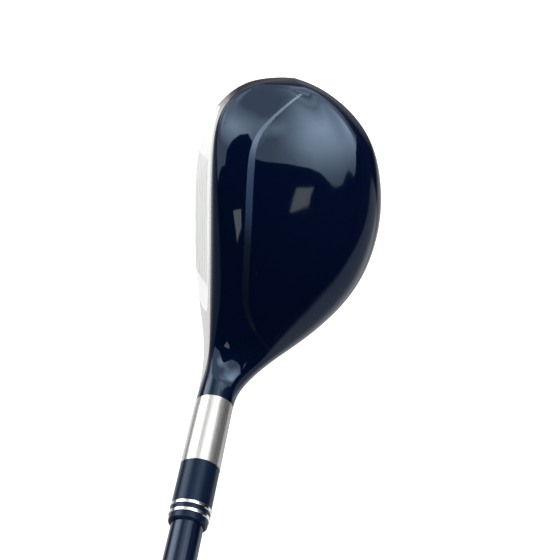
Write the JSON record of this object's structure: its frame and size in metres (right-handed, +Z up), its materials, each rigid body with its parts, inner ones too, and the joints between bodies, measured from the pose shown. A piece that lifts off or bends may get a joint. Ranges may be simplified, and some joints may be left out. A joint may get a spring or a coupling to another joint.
{
  "type": "hybrid golf club",
  "caption": "Right-handed hybrid golf club: hollow steel head with a glossy dark crown, bonded hosel with a ringed ferrule, graphite shaft, rubber grip and a screwed rear weight.",
  "frame": {"origin": "where the shaft axis meets the ground with the sole set down as at address", "axes": "+Z up, +X from the face to the back of the head, +Y from heel to toe; the shaft leans towards -Y at a lie angle of 60 degrees"},
  "size_m": [0.0656, 0.6027, 0.881],
  "materials": {
    "casting_steel": "satin brushed",
    "face_steel": "satin, milled grooves",
    "head_paint": "deep gloss",
    "badge_metal": "satin",
    "tungsten": "sintered",
    "glue": "waxy",
    "insert_steel": "machined",
    "weight_metal": "turned",
    "washer_plastic": "smooth",
    "screw_steel": "black oxide",
    "plug_rubber": "matt",
    "shaft_lacquer": "high gloss lacquer over graphite",
    "tip_brass": "machined",
    "ferrule_black": "polished",
    "ring_metal": "polished",
    "tape_paper": "matt",
    "grip_rubber": "matt, textured"
  },
  "bodies": {
    "head": {"body_casting": "casting_steel", "face_plate": "face_steel", "crown_plate": "head_paint", "sole_badge": "badge_metal", "sole_weight_slab": "tungsten", "hot_melt": "glue", "threaded_insert": "insert_steel", "hosel_plug": "plug_rubber", "epoxy_sleeve": "glue", "shaft": "shaft_lacquer", "tip_plug": "tip_brass", "ferrule_body": "ferrule_black", "trim_ring_lower": "ring_metal", "trim_spacer": "ferrule_black", "trim_ring_upper": "ring_metal", "ferrule_collar": "ferrule_black", "grip_tape": "tape_paper", "grip_sleeve": "grip_rubber", "grip_cap": "grip_rubber"},
    "back_weight": {"back_weight": "weight_metal", "screw_retaining_washer": "washer_plastic"},
    "weight_screw": {"weight_screw": "screw_steel"}
  },
  "joints": [
    {"name": "back_weight_out", "type": "slide", "parent": "head", "child": "back_weight", "axis": [0.3746, 0, -0.9272], "range_m": [0, 0.0076]},
    {"name": "weight_screw_turn", "type": "hinge", "parent": "back_weight", "child": "weight_screw", "pos_m": [0.0414, 0.043, 0.00375], "axis": [0.3746, 0, -0.9272], "range_deg": [0, 3420]}
  ],
  "couplings": [
    {"joint": "weight_screw_turn", "follows": "back_weight_out", "rad_per_m": 7854}
  ]
}
